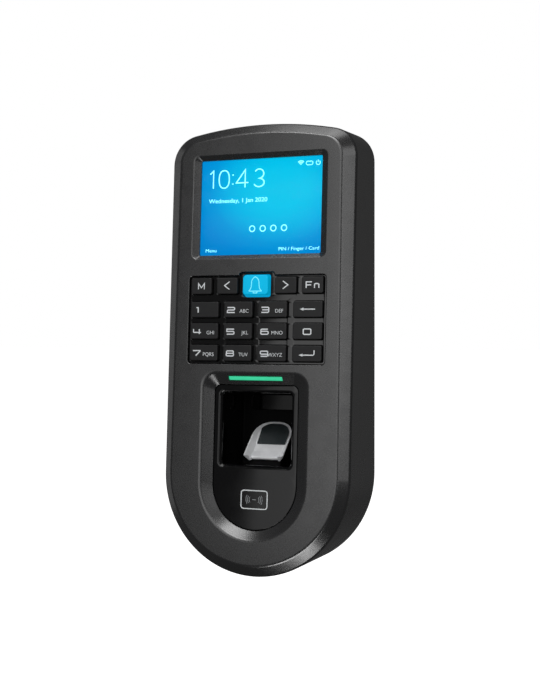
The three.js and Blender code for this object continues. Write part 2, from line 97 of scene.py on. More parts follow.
# Areas are (left, right, low, high); the reader's outlines are (half width, top, bottom, corner).
SCREEN_BEZEL = (-28.9, 28.9, 36.2, 78.4)
SCREEN_WINDOW = (-26.25, 26.25, 37.85, 76.4)
BEZEL_WIDTH = 2.6
SCREEN_RECESS = 1.5
RECESS_OUTER = (22.75, -9.3, -75.7, 6.0)
RECESS_INNER = (18.2, -14.0, -71.8, 2.6)
RECESS_WIDTH = RECESS_OUTER[0] - RECESS_INNER[0]
RECESS_DEPTH = 2.6
COLLAR_DEPTH = 5.2
FINGER_OPENING = (-15.95, 15.95, -47.0, -16.3)
WELL_WALL_THICKNESS = 1.3
WELL_CORNER = 2.4
CARD_MARK = (-5.45, 5.75, -63.1, -55.9)
KEY_FLANGE_GROW = 0.6
KEY_RADIUS = 0.7
GAP = 0.3

# ---- Outlines: closed lists of (x, z), counter-clockwise seen from the front ----


def arc(cx, cz, radius, start, end, steps):
    angles = [start + (end - start) * i / steps for i in range(steps + 1)]
    return [(cx + radius * math.cos(a), cz + radius * math.sin(a)) for a in angles]


def body_outline(half_top, half_bottom, top, bottom, crown, corner):
    crown_centre = top - crown
    shoulder_x = half_top - corner
    shoulder_z = crown_centre + math.sqrt((crown - corner) ** 2 - shoulder_x ** 2)
    meet = math.atan2(shoulder_z - crown_centre, shoulder_x)
    return (
        arc(0, bottom + half_bottom, half_bottom, math.pi, 2 * math.pi, 96)
        + arc(shoulder_x, shoulder_z, corner, 0, meet, 18)
        + arc(0, crown_centre, crown, meet, math.pi - meet, 28)[1:-1]
        + arc(-shoulder_x, shoulder_z, corner, math.pi - meet, math.pi, 18)
    )


def inset_body(inset):
    half = HALF_WIDTH - inset
    return body_outline(half, half, TOP - inset, BOTTOM + inset, CROWN_RADIUS - inset, CORNER_RADIUS - inset)


def rectangle(area, radius, steps=8, grow=0.0):
    x0, x1, z0, z1 = area[0] - grow, area[1] + grow, area[2] - grow, area[3] + grow
    quarter = math.pi / 2
    return (
        arc(x0 + radius, z0 + radius, radius, 2 * quarter, 3 * quarter, steps)
        + arc(x1 - radius, z0 + radius, radius, 3 * quarter, 4 * quarter, steps)
        + arc(x1 - radius, z1 - radius, radius, 0, quarter, steps)
        + arc(x0 + radius, z1 - radius, radius, quarter, 2 * quarter, steps)
    )


def reader_outline(shape, grow=0.0):
    half, top, bottom, corner = shape
    side, round_ = half + grow, corner + grow
    return (
        arc(0, bottom + half, side, math.pi, 2 * math.pi, 72)
        + arc(side - round_, top + grow - round_, round_, 0, math.pi / 2, 12)
        + arc(round_ - side, top + grow - round_, round_, math.pi / 2, math.pi, 12)
    )


def arch_outline(half, start, end, corner=0.3, steps=48):
    """Straight front edge and sides, arched far end; the front corners are rounded."""
    rise = half * 1.05
    points = (
        arc(-half + corner, start + corner, corner, math.pi, 1.5 * math.pi, 5)
        + arc(half - corner, start + corner, corner, 1.5 * math.pi, 2 * math.pi, 5)
    )
    for i in range(steps + 1):
        c, s = math.cos(math.pi * i / steps), math.sin(math.pi * i / steps)
        points.append((half * math.copysign(abs(c) ** 0.8, c), end - rise + rise * abs(s) ** 0.8))
    return points


def keypad_outline(grow=0.0):
    """The keypad opening: a rounded rectangle that rises a little round the bell key."""
    (x0, _, z0), (x1, _, top) = face_box("keypad_panel")
    x0, x1, z0 = x0 - GAP - grow, x1 + GAP + grow, z0 - GAP - grow
    top = top + GAP + grow
    shelf = top - 1.3
    radius, bump_half, bump_radius, foot = 1.6 + grow, 7.6 + grow, 0.9, 0.4
    quarter = math.pi / 2
    return (
        arc(x0 + radius, z0 + radius, radius, 2 * quarter, 3 * quarter, 8)
        + arc(x1 - radius, z0 + radius, radius, 3 * quarter, 4 * quarter, 8)
        + arc(x1 - radius, shelf - radius, radius, 0, quarter, 8)
        + arc(bump_half + foot, shelf + foot, foot, 3 * quarter, 2 * quarter, 4)
        + arc(bump_half - bump_radius, top - bump_radius, bump_radius, 0, quarter, 6)
        + arc(bump_radius - bump_half, top - bump_radius, bump_radius, quarter, 2 * quarter, 6)
        + arc(-bump_half - foot, shelf + foot, foot, 0, -quarter, 4)
        + arc(x0 + radius, shelf - radius, radius, quarter, 2 * quarter, 8)
    )


def between(a, b, t):
    return [(p[0] + (q[0] - p[0]) * t, p[1] + (q[1] - p[1]) * t) for p, q in zip(a, b)]


# ---- Mesh building ----


def face_point(x, z, depth):
    return Vector((x, depth, z))


def soften(profile, cut, steps=4):
    """Rounds the inner corners of a polyline of (a, b) points; cut is how far each one is cut."""
    cuts = cut if isinstance(cut, (list, tuple)) else [cut] * len(profile)
    smooth = [Vector(profile[0])]
    for before, corner, after, size in zip(profile, profile[1:], profile[2:], cuts[1:]):
        before, corner, after = Vector(before), Vector(corner), Vector(after)
        start = corner + (before - corner).normalized() * min(size, (before - corner).length * 0.49)
        end = corner + (after - corner).normalized() * min(size, (after - corner).length * 0.49)
        for i in range(steps + 1):
            t = i / steps
            smooth.append(start * (1 - t) ** 2 + corner * 2 * t * (1 - t) + end * t ** 2)
    smooth.append(Vector(profile[-1]))
    return smooth


def encloses(points, edge, spot):
    """Whether a ray from spot to the right crosses the edge."""
    a, b = points[edge[0]], points[edge[1]]
    if (a.y > spot.y) == (b.y > spot.y):
        return False
    return a.x + (spot.y - a.y) * (b.x - a.x) / (b.y - a.y) > spot.x


class Solid:
    """Collects rings of points, the skins between them and flat fills, as one mesh."""

    def __init__(self):
        self.mesh = bmesh.new()

    def ring(self, points):
        return [self.mesh.verts.new(p) for p in points]

    def bridge(self, a, b):
        count = len(a)
        for i in range(count):
            j = (i + 1) % count
            self.mesh.faces.new((a[i], a[j], b[j], b[i]))

    def skin(self, rings):
        """Joins each ring of points to the next and returns the first and last rings' corners."""
        made = [self.ring(points) for points in rings]
        for a, b in zip(made, made[1:]):
            self.bridge(a, b)
        return made[0], made[-1]

    def closed(self, rings):
        """Joins the rings and fills the first and the last, so that they hold a volume."""
        first, last = self.skin(rings)
        self.fill(last)
        self.fill(first)
        return self

    def strip(self, rings):
        """The same for two rings that stand across X, whose ends are plain faces."""
        ends = [self.ring(points) for points in rings]
        self.bridge(*ends)
        for end in ends:
            self.mesh.faces.new(end)

    def fill(self, outer, holes=()):
        """Fills the flat region inside the ring outer and outside each ring of holes."""
        loops = [outer, *holes]
        corners = [v for loop in loops for v in loop]
        flat = [Vector((v.co.x, v.co.z)) for v in corners]
        edges = []
        start = 0
        for loop in loops:
            count = len(loop)
            edges += [(start + i, start + (i + 1) % count) for i in range(count)]
            start += count
        places, _, faces, origins, _, _ = delaunay_2d_cdt(flat, edges, [], 0, 1e-7)
        for face in faces:
            middle = sum((places[i] for i in face), Vector((0, 0))) / len(face)
            inside = sum(encloses(flat, edge, middle) for edge in edges) % 2
            used = [corners[origins[i][0]] for i in face]
            if inside and len(set(used)) > 2:
                self.mesh.faces.new(used)

    def piece(self, name, material, matrix=FACE, flat=False):
        bmesh.ops.remove_doubles(self.mesh, verts=self.mesh.verts, dist=1e-5)
        bmesh.ops.recalc_face_normals(self.mesh, faces=self.mesh.faces)
        self.mesh.transform(Matrix.Scale(MM, 4) @ matrix)
        for face in self.mesh.faces:
            face.smooth = not flat
        data = bpy.data.meshes.new(name)
        self.mesh.to_mesh(data)
        self.mesh.free()
        return add_object(name, data, material)


def add_object(name, data, material):
    item = bpy.data.objects.new(name, data)
    bpy.context.scene.collection.objects.link(item)
    data.materials.clear()
    data.materials.append(material)
    return item


def tidy_normals(item, angle=35):
    """Splits the shading at sharp edges and lets the large flat faces lead elsewhere."""
    item.data.set_sharp_from_angle(angle=math.radians(angle))
    weighted = item.modifiers.new("weighted", "WEIGHTED_NORMAL")
    weighted.mode = "FACE_AREA"
    weighted.weight = 60
    weighted.keep_sharp = True


def hold(item, body, slot, *nodes):
    """Hangs a piece on what it rides on and hides the nodes it stands for; slot, its finish, is not used."""
    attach(item, body)
    if nodes:
        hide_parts(*nodes)
    return item


def ring_at(outline, depth):
    """A ring in the face frame. depth may be a function of the height."""
    return [face_point(x, z, depth(z) if callable(depth) else depth) for x, z in outline]


def slab(name, outline, front, rear, material, edge=0.0, holes=()):
    """A flat piece with softly rounded front edges and optional holes."""
    body = Solid()
    profile = [(0, front)]
    if edge:
        profile = soften([(0, rear), (0, front), (edge * 2 + 0.2, front)], edge, 4)[1:-1]

    def side(line, sign):
        rings = [ring_at(line(0), rear)]
        rings += [ring_at(line(p[0] * sign), p[1]) for p in profile]
        return body.skin(rings)

    rear_ring, front_ring = side(outline, 1)
    made = [side(hole, -1) for hole in holes]
    body.fill(front_ring, [m[1] for m in made])
    body.fill(rear_ring, [m[0] for m in made])
    return body.piece(name, material)


def apply_modifiers(item):
    graph = bpy.context.evaluated_depsgraph_get()
    baked = bpy.data.meshes.new_from_object(item.evaluated_get(graph))
    item.modifiers.clear()
    item.data = baked


def carve(item, *tools):
    """Cuts the tools out of the item and removes them."""
    for tool in tools:
        cut = item.modifiers.new("carve", "BOOLEAN")
        cut.operation = "DIFFERENCE"
        cut.solver = "EXACT"
        cut.object = tool
    apply_modifiers(item)
    for tool in tools:
        bpy.data.objects.remove(tool)


# ---- Materials ----


def colour(red, green, blue):
    """Linear colour from red, green and blue values of 0 to 255."""
    def linear(value):
        value /= 255
        return value / 12.92 if value <= 0.04045 else ((value + 0.055) / 1.055) ** 2.4
    return (linear(red), linear(green), linear(blue), 1.0)


class Nodes:
    """A short way to write a node tree."""

    def __init__(self, name):
        self.material = bpy.data.materials.new(name)
        self.material.use_nodes = True
        self.tree = self.material.node_tree
        self.shader = self.tree.nodes["Principled BSDF"]

    def add(self, kind, **values):
        node = self.tree.nodes.new(kind)
        for key, value in values.items():
            if hasattr(node, key):
                setattr(node, key, value)
            else:
                node.inputs[key].default_value = value
        return node

    def link(self, source, target):
        self.tree.links.new(source, target)

    def set(self, **values):
        for key, value in values.items():
            self.shader.inputs[key.replace("_", " ")].default_value = value

    def noise(self, scale, detail=2.0, roughness=0.5):
        place = self.add("ShaderNodeTexCoord")
        noise = self.add("ShaderNodeTexNoise", Scale=scale, Detail=detail, Roughness=roughness)
        self.link(place.outputs["Object"], noise.inputs["Vector"])
        return noise.outputs["Fac"]

    def spread(self, source, low, high, from_low=0.3, from_high=0.7):
        ranged = self.add("ShaderNodeMapRange")
        self.link(source, ranged.inputs["Value"])
        limits = (("From Min", from_low), ("From Max", from_high), ("To Min", low), ("To Max", high))
        for key, value in limits:
            ranged.inputs[key].default_value = value
        return ranged.outputs["Result"]

    def mix(self, fac, a, b):
        mixed = self.add("ShaderNodeMix", data_type="RGBA")
        self.link(fac, mixed.inputs["Factor"])
        for socket, value in ((mixed.inputs[6], a), (mixed.inputs[7], b)):
            if isinstance(value, tuple):
                socket.default_value = value
            else:
                self.link(value, socket)
        return mixed.outputs[2]

    def tint(self, noise, dark, light, *sockets):
        """Two tones mixed by a noise, led to sockets of the shader."""
        mixed = self.mix(self.spread(noise, 0.0, 1.0), dark, light)
        for socket in sockets:
            self.link(mixed, self.shader.inputs[socket])

    def bump(self, height, strength, distance):
        bump = self.add("ShaderNodeBump", Strength=strength, Distance=distance)
        self.link(height, bump.inputs["Height"])
        self.link(bump.outputs["Normal"], self.shader.inputs["Normal"])


def shade(tone, factor):
    return (*(channel * factor for channel in tone[:3]), 1.0)


def moulded(name, tone, roughness, strength=0.25, scale=2600.0, specular=0.5, ior=1.5):
    """Moulded plastic: spark-eroded grain, slow colour mottle and uneven polish."""
    grain, mottle = 0.02, 0.06
    made = Nodes(name)
    made.set(Specular_IOR_Level=specular, IOR=ior)
    made.tint(made.noise(45.0, 3.0), shade(tone, 1 - mottle), shade(tone, 1 + mottle), "Base Color")
    fine = made.noise(scale, 2.0, 0.6)
    patch = made.noise(160.0, 2.0)
    rough = made.add("ShaderNodeMath", operation="ADD")
    made.link(made.spread(patch, roughness - 0.02, roughness + 0.02), rough.inputs[0])
    made.link(made.spread(fine, -grain, grain), rough.inputs[1])
    made.link(rough.outputs[0], made.shader.inputs["Roughness"])
    made.bump(fine, strength, 0.00002)
    return made.material


def polished(name, tone, roughness=0.06, specular=0.5, ior=1.5):
    """Piano-black plastic: nearly even, with very faint haze."""
    made = Nodes(name)
    made.set(Specular_IOR_Level=specular, IOR=ior)
    haze = made.noise(90.0, 3.0)
    made.tint(haze, tone, shade(tone, 1.15), "Base Color")
    made.link(made.spread(haze, roughness, roughness + 0.03), made.shader.inputs["Roughness"])
    return made.material


def metal(name, tone, roughness, stretch=(1.0, 1.0, 40.0), strength=0.08, metallic=1.0):
    """Plated metal with a fine directional grain."""
    made = Nodes(name)
    made.set(Metallic=metallic)
    place = made.add("ShaderNodeTexCoord")
    turn = made.add("ShaderNodeMapping")
    turn.inputs["Scale"].default_value = stretch
    grain = made.add("ShaderNodeTexNoise", Scale=220.0, Detail=4.0)
    made.link(place.outputs["Object"], turn.inputs["Vector"])
    made.link(turn.outputs["Vector"], grain.inputs["Vector"])
    made.tint(grain.outputs["Fac"], shade(tone, 0.92), shade(tone, 1.05), "Base Color")
    made.link(made.spread(grain.outputs["Fac"], roughness - 0.05, roughness + 0.07),
              made.shader.inputs["Roughness"])
    made.bump(grain.outputs["Fac"], strength, 0.00003)
    return made.material


def glowing(name, tone, strength, roughness=0.35):
    """Plain lit plastic, slightly uneven as light guides are."""
    made = Nodes(name)
    made.tint(made.noise(150.0, 2.0), shade(tone, 0.93), shade(tone, 1.04), "Base Color", "Emission Color")
    made.set(Emission_Strength=strength, Roughness=roughness)
    return made.material


SHELL = moulded("shell_plastic", colour(37, 37, 38), 0.27, specular=1.0, ior=1.6)
REAR = moulded("rear_plastic", colour(30, 30, 31), 0.55, strength=0.35, scale=1800.0)
KEY = moulded("key_plastic", colour(33, 33, 34), 0.45, strength=0.2, specular=0.4)
WEB = polished("web_plastic", colour(2, 2, 3), 0.05, 1.0)
GLOSS = polished("piano_black", colour(14, 14, 15), 0.06)
WELL_WALL = polished("well_black", colour(3, 3, 4), 0.05, 1.0, 2.2)
WELL_BACK = moulded("well_back_black", colour(6, 6, 7), 0.6, specular=0.1)
WELL_COVER = polished("well_cover_black", colour(3, 3, 4), 0.05, 0.25)
SILVER = metal("silver_plating", colour(246, 247, 249), 0.36, (1.0, 1.0, 1.0), 0.03, 0.12)
STEEL = metal("zinc_steel", colour(176, 178, 180), 0.38)
NICKEL = metal("bright_nickel", colour(190, 188, 182), 0.25)
CHIP = moulded("chip_plastic", colour(26, 27, 28), 0.55)
TERMINAL = moulded("terminal_plastic", colour(40, 105, 62), 0.45)
SILICONE = moulded("silicone", colour(132, 134, 136), 0.7)
# The key legends and the card mark are print that also glows a little: painted brightness, not a lamp.
PRINT_PAINTED_GLOW = glowing("key_legend", colour(222, 226, 228), 0.2, 0.5)
FAINT_PRINT_PAINTED_GLOW = glowing("faint_print_painted_glow", colour(150, 153, 156), 0.15, 0.5)
SCREEN_INK = glowing("screen_white", colour(132, 238, 254), 0.92)
BELL_INK = glowing("bell_white", colour(120, 232, 250), 0.62)
LIGHT = glowing("light_bar_green", colour(58, 197, 146), 0.85)


def circuit_board():
    """Green solder mask over faint copper tracks."""
    made = Nodes("circuit_board")
    place = made.add("ShaderNodeTexCoord")
    tracks = made.add("ShaderNodeTexBrick", Scale=900.0, Color1=colour(22, 92, 52),
                      Color2=colour(26, 104, 58), Mortar=colour(14, 66, 38))
    made.link(place.outputs["Object"], tracks.inputs["Vector"])
    made.link(tracks.outputs["Color"], made.shader.inputs["Base Color"])
    made.set(Roughness=0.35)
    made.bump(tracks.outputs["Fac"], 0.2, 0.00003)
    return made.material


BOARD = circuit_board()


def screen_picture():
    """Lit picture: brightest cyan up and right of the middle, deeper blue towards the lower left."""
    made = Nodes("screen_picture")
    place = made.add("ShaderNodeTexCoord")
    flat = made.add("ShaderNodeVectorMath", operation="MULTIPLY")
    flat.inputs[1].default_value = (1.0, 0.0, 1.0)
    away = made.add("ShaderNodeVectorMath", operation="DISTANCE")
    away.inputs[1].default_value = (0.65, 0.0, 0.7)
    made.link(place.outputs["Generated"], flat.inputs[0])
    made.link(flat.outputs["Vector"], away.inputs[0])
    ramp = made.add("ShaderNodeValToRGB")
    ramp.color_ramp.elements[0].color = colour(2, 196, 236)
    ramp.color_ramp.elements[1].color = colour(1, 129, 204)
    steps = ((0.15, (2, 190, 233)), (0.35, (2, 176, 228)), (0.55, (1, 151, 218)), (0.77, (1, 135, 211)))
    for position, tone in steps:
        ramp.color_ramp.elements.new(position).color = colour(*tone)
    made.link(made.spread(away.outputs["Value"], 0.0, 1.0, 0.2, 0.87), ramp.inputs["Fac"])
    made.link(ramp.outputs["Color"], made.shader.inputs["Emission Color"])
    made.set(Base_Color=(0.0, 0.01, 0.02, 1.0), Emission_Strength=1.0, Roughness=0.5, Specular_IOR_Level=0.1)
    return made.material


def clear_glass(name, tint):
    made = Nodes(name)
    made.set(Base_Color=tint, Roughness=0.02, IOR=1.05, Transmission_Weight=1.0)
    return made.material


def platen_glass():
    """Dark coated glass with a faint grey haze."""
    made = Nodes("platen_glass")
    made.tint(made.noise(120.0, 2.0), colour(44, 50, 52), colour(54, 60, 62), "Base Color")
    made.set(Roughness=0.12, Specular_IOR_Level=0.6)
    return made.material


def bell_plastic():
    """Cyan plastic lit a little from behind."""
    made = Nodes("bell_plastic")
    made.tint(made.noise(60.0, 1.0), colour(0, 158, 203), colour(0, 171, 213), "Base Color", "Emission Color")
    made.set(Emission_Strength=0.62, Roughness=0.4, Specular_IOR_Level=0.2)
    return made.material


GLASS = clear_glass("cover_glass", (1.0, 1.0, 1.0, 1.0))
PICTURE = screen_picture()
PLATEN = platen_glass()
BELL = bell_plastic()

# ---- Front shell ----

OUTER = inset_body(0)


def plateau(inset):
    """The flat front inside the chamfer: half widths, top, bottom, crown and corner radius."""
    return body_outline(34.8 - inset, 35.8 - inset, 86.3 - inset, PLATEAU_BOTTOM + inset, 150 - inset,
                        8.5 - inset)


PLATEAU = plateau(0)
INNER_PLATEAU = plateau(WALL / 2)


def housing_ring(outline, depth=None, y=None):
    """A ring of the housing in the face frame: a depth behind the leaning front, or a plain Y."""
    points = []
    for x, z in outline:
        level = y if y is not None else FACE_Y + LEAN * z + depth
        points.append(TO_FACE @ Vector((x, level, z)))
    return points


def front_shell():
    """Chamfered shell with the screen's bezel, the keypad's opening and the reader's recess."""
    shell = Solid()
    chamfer = soften([(0, 20), (0, CHAMFER_DEPTH), (CHAMFER_WIDTH, 0), (2 * CHAMFER_WIDTH, 0)],
                     [0, 0.9, 0.7, 0], 5)[1:-1]
    outer = [housing_ring(inset_body(WALL), y=RIM_Y), housing_ring(inset_body(0.25), y=RIM_Y),
             housing_ring(inset_body(0.07), y=RIM_Y - 0.08), housing_ring(OUTER, y=RIM_Y - 0.3)]
    outer += [housing_ring(between(OUTER, PLATEAU, across / CHAMFER_WIDTH), depth)
              for across, depth in chamfer]
    inner = [housing_ring(INNER_PLATEAU, WALL), housing_ring(inset_body(WALL), CHAMFER_DEPTH + 1.1)]
    inner_start, _ = shell.skin(inner + outer[:1])
    _, front = shell.skin(outer)

    def opening(outline_at, profile, tail):
        rings = [ring_at(outline_at(offset), depth) for offset, depth in profile]
        return shell.skin(rings + tail)

    bezel, window = rectangle(SCREEN_BEZEL, 2.4, 10), rectangle(SCREEN_WINDOW, 0.5, 10)
    screen = opening(
        lambda t: between(bezel, window, t / BEZEL_WIDTH),
        soften([(-2, 0), (0, 0), (BEZEL_WIDTH, SCREEN_RECESS), (BEZEL_WIDTH, WALL)],
               [0, 0.35, 0.12, 0], 4)[1:],
        [])
    keypad = opening(
        lambda t: keypad_outline(-t),
        soften([(-1, 0), (0, 0), (0, WALL)], 0.28, 4)[1:],
        [])
    wide, narrow = reader_outline(RECESS_OUTER), reader_outline(RECESS_INNER)
    collar = reader_outline(RECESS_OUTER, 0.9)
    reader = opening(
        lambda t: between(wide, narrow, t / RECESS_WIDTH),
        soften([(-3, 0), (0, 0), (RECESS_WIDTH, RECESS_DEPTH), (RECESS_WIDTH, COLLAR_DEPTH)],
               [0, 0.8, 0.15, 0], 5)[1:],
        [ring_at(collar, COLLAR_DEPTH), ring_at(collar, WALL)])
    shell.fill(front, [screen[0], keypad[0], reader[0]])
    shell.fill(inner_start, [screen[1], keypad[1], reader[1]])
    item = shell.piece("front_shell_moulding", SHELL)

    low, high = face_box("led_light_guide")
    slot_gap = 0.28
    area = (low.x - slot_gap, high.x + slot_gap, low.z - slot_gap, high.z + slot_gap)
    carve(item, slab("slot_cutter", lambda g: rectangle(area, 0.3, 4, -g), -1, 8, SHELL))
    tidy_normals(item)
    hold(item, "housing", "shell", "front_shell")


# ---- Screen ----


def stroke(name, paths, width, front, material, closed=False):
    """Printed lines: each path is a list of (x, z) points, drawn as a flat band."""
    made = Solid()
    for path in paths:
        add_band(made, path, width / 2, front, closed and len(path) > 2)
    return made.piece(name, material, flat=True)


def add_band(made, path, half, front, loop):
    """One polyline as a band with mitred bends and square ends."""
    depth = 0.06
    points = [Vector(p) for p in path]
    count = len(points)
    left, right = [], []
    for i, point in enumerate(points):
        before = points[i - 1] if (i > 0 or loop) else None
        after = points[(i + 1) % count] if (i < count - 1 or loop) else None
        ways = [(point - before).normalized() if before is not None else None,
                (after - point).normalized() if after is not None else None]
        ways = [w for w in ways if w is not None]
        normals = [Vector((-w.y, w.x)) for w in ways]
        normal = sum(normals, Vector((0, 0))).normalized()
        reach = half / max(0.35, normal.dot(normals[0]))
        left.append(point + normal * reach)
        right.append(point - normal * reach)
    top = [[made.mesh.verts.new((p.x, front, p.y)) for p in line] for line in (left, right)]
    low = [[made.mesh.verts.new((p.x, front + depth, p.y)) for p in line] for line in (left, right)]
    last = count if loop else count - 1
    for i in range(last):
        j = (i + 1) % count
        made.mesh.faces.new((top[0][i], top[0][j], top[1][j], top[1][i]))
        made.mesh.faces.new((low[0][i], low[1][i], low[1][j], low[0][j]))
        made.mesh.faces.new((top[0][i], low[0][i], low[0][j], top[0][j]))
        made.mesh.faces.new((top[1][i], top[1][j], low[1][j], low[1][i]))
    if not loop:
        for i in (0, count - 1):
            made.mesh.faces.new((top[0][i], top[1][i], low[1][i], low[0][i]))


def words(name, body, x, z, height, front, material, align, stretch, weight=0.0):
    """A line of plain text as a thin mesh lying on the face, z its baseline."""
    curve = bpy.data.curves.new(name, "FONT")
    curve.body = body
    curve.align_x = align
    curve.size = height / 0.72
    curve.offset = weight
    curve.extrude = 0.02
    maker = bpy.data.objects.new(name + "_maker", curve)
    bpy.context.scene.collection.objects.link(maker)
    graph = bpy.context.evaluated_depsgraph_get()
    data = bpy.data.meshes.new_from_object(maker.evaluated_get(graph))
    bpy.data.objects.remove(maker)
    upright = Matrix.Rotation(math.pi / 2, 4, "X") @ Matrix.Diagonal((stretch, 1, 1, 1))
    data.transform(Matrix.Scale(MM, 4) @ FACE @ Matrix.Translation((x, front, z)) @ upright)
    data.name = name
    return add_object(name, data, material)


def circle_path(cx, cz, radius, start=0, end=360, steps=24):
    return arc(cx, cz, radius, math.radians(start), math.radians(end), steps)


def screen():
    """The lit page behind the lens: clock, date, status marks, four rings and two hints."""
    lens = NODES["screen_lens"]
    lens.data.materials.clear()
    lens.data.materials.append(GLASS)
    back = face_box("screen_lens")[1].y + 0.03
    overlap = 0.6
    picture = slab("screen_picture_panel", lambda g: rectangle(SCREEN_WINDOW, 0.5, 3, overlap - g),
                   back + 0.12, back + 0.3, PICTURE)
    hold(picture, "housing", "display")

    ink = back + 0.04
    left, right, low_z, high_z = SCREEN_WINDOW

    def lines(name, paths, width, closed=False):
        hold(stroke(name, paths, width, ink, SCREEN_INK, closed), "housing", "display")

    def line_of_words(name, body, x, z, height, align="LEFT", stretch=1.2):
        hold(words(name, body, x, z, height, ink, SCREEN_INK, align, stretch), "housing", "display")

    # Clock, thin and large, then the date under it.
    x, z, size = left + 3.3, high_z - 11.1, 7.15
    thin = 0.42
    lines("clock_one", [[(x, z + size * 0.82), (x + 1.5, z + size), (x + 1.5, z)]], thin)
    lines("clock_zero", [oval(x + 6.3, z + size / 2, 2.25, size / 2)], thin, closed=True)
    lines("clock_colon", [[(x + 10.2, z + low), (x + 10.2, z + low + 0.45)] for low in (1.3, 5.0)], 0.5)
    four = [(x + 15.6, z), (x + 15.6, z + size), (x + 11.7, z + 1.9), (x + 17.0, z + 1.9)]
    lines("clock_four", [four], thin)
    lines("clock_three", [three(x + 19.7, z, size)], thin)
    line_of_words("date_line", "Wednesday, 1 Jan 2020", x - 0.3, high_z - 17.1, 1.75, stretch=1.12)

    # Status marks at the top right: signal fan, cloud, power ring.
    top = high_z - 2.6
    fan = [circle_path(right - 9.6, top - 0.7, r, 45, 135, 8) for r in (0.5, 1.1, 1.7)]
    lines("status_signal", fan, 0.35)
    cloud_left = circle_path(right - 6.6, top, 0.75, 60, 270, 10)
    cloud_right = circle_path(right - 5.3, top, 0.75, -90, 120, 10)
    lines("status_cloud", [cloud_left + cloud_right], 0.26, closed=True)
    lines("status_power", [circle_path(right - 2.3, top, 0.85, 130, 410, 16),
                           [(right - 2.3, top + 0.2), (right - 2.3, top + 1.1)]], 0.28)

    # Four rings for a typed number in the lower half, and two quiet hints in the corners.
    rings = [circle_path(left + 22.5 + i * 4.6, low_z + 10.6, 1.15, 0, 345) for i in range(4)]
    lines("number_rings", rings, 0.34, closed=True)
    line_of_words("hint_left", "Menu", left + 2.0, low_z + 1.5, 1.35)
    line_of_words("hint_right", "PIN / Finger / Card", right - 1.0, low_z + 1.6, 1.35, "RIGHT")


def oval(cx, cz, half_x, half_z, steps=36):
    """An upright oval a little squarer than an ellipse."""
    def squarer(value):
        return math.copysign(abs(value) ** 0.85, value)

    angles = [2 * math.pi * i / steps for i in range(steps)]
    return [(cx + half_x * squarer(math.cos(a)), cz + half_z * squarer(math.sin(a))) for a in angles]


def three(x, z, size):
    """A thin open 3: two stacked bowls."""
    upper = size * 0.265
    lower = size - 2 * upper
    high_bowl = [(x + 2.0 + 2.0 * math.cos(a), z + size - upper + upper * math.sin(a))
                 for a in (math.radians(150 - i * 20) for i in range(13))]
    low_bowl = [(x + 2.0 + 2.25 * math.cos(a), z + lower / 2 + lower / 2 * math.sin(a))
                for a in (math.radians(80 - i * 20) for i in range(13))]
    return high_bowl + low_bowl


# ---- Keypad ----

KEY_NAMES = sorted(n for n in NODES if n.startswith("key_"))


def key_area(node):
    """The cap's (left, right, low, high) without the flange behind the panel, its front and its rear."""
    low, high = face_box(node)
    grow = KEY_FLANGE_GROW
    return (low.x + grow, high.x - grow, low.z + grow, high.z - grow), low.y, high.y


def keypad_panel():
    low, high = face_box("keypad_panel")
    holes = []
    for node in KEY_NAMES:
        area, _, _ = key_area(node)
        holes.append(lambda g, area=area: rectangle(area, KEY_RADIUS + GAP, 6, GAP - g))
    item = slab("keypad_web", lambda g: keypad_outline(-GAP - g), low.y, high.y, WEB, 0.12, holes=holes)
    tidy_normals(item)
    hold(item, "housing", "keypad_web", "keypad_panel")


def key_cap(node):
    area, front, rear = key_area(node)
    bell = node == "key_bell"
    if bell:
        area = (area[0] + 0.25, area[1] - 0.25, area[2] + 0.5, area[3] - 0.1)
    radius = 1.3 if bell else KEY_RADIUS
    shoulder = rear - 0.7
    edge = 0.55 if bell else 0.35
    cap = Solid()
    flange = rectangle(area, radius, 6, KEY_FLANGE_GROW)
    profile = soften([(0, shoulder), (0, front), (3, front)], edge, 5)[1:-1]
    rings = [ring_at(flange, rear), ring_at(flange, shoulder), ring_at(rectangle(area, radius, 6), shoulder)]
    rings += [ring_at(rectangle(area, max(0.12, radius - p[0]), 6, -p[0]), p[1]) for p in profile]
    item = cap.closed(rings).piece(node + "_cap", BELL if bell else KEY)
    tidy_normals(item)
    hold(item, node, "bell_key" if bell else "key_plastic", node)
    legend(node, area, front)


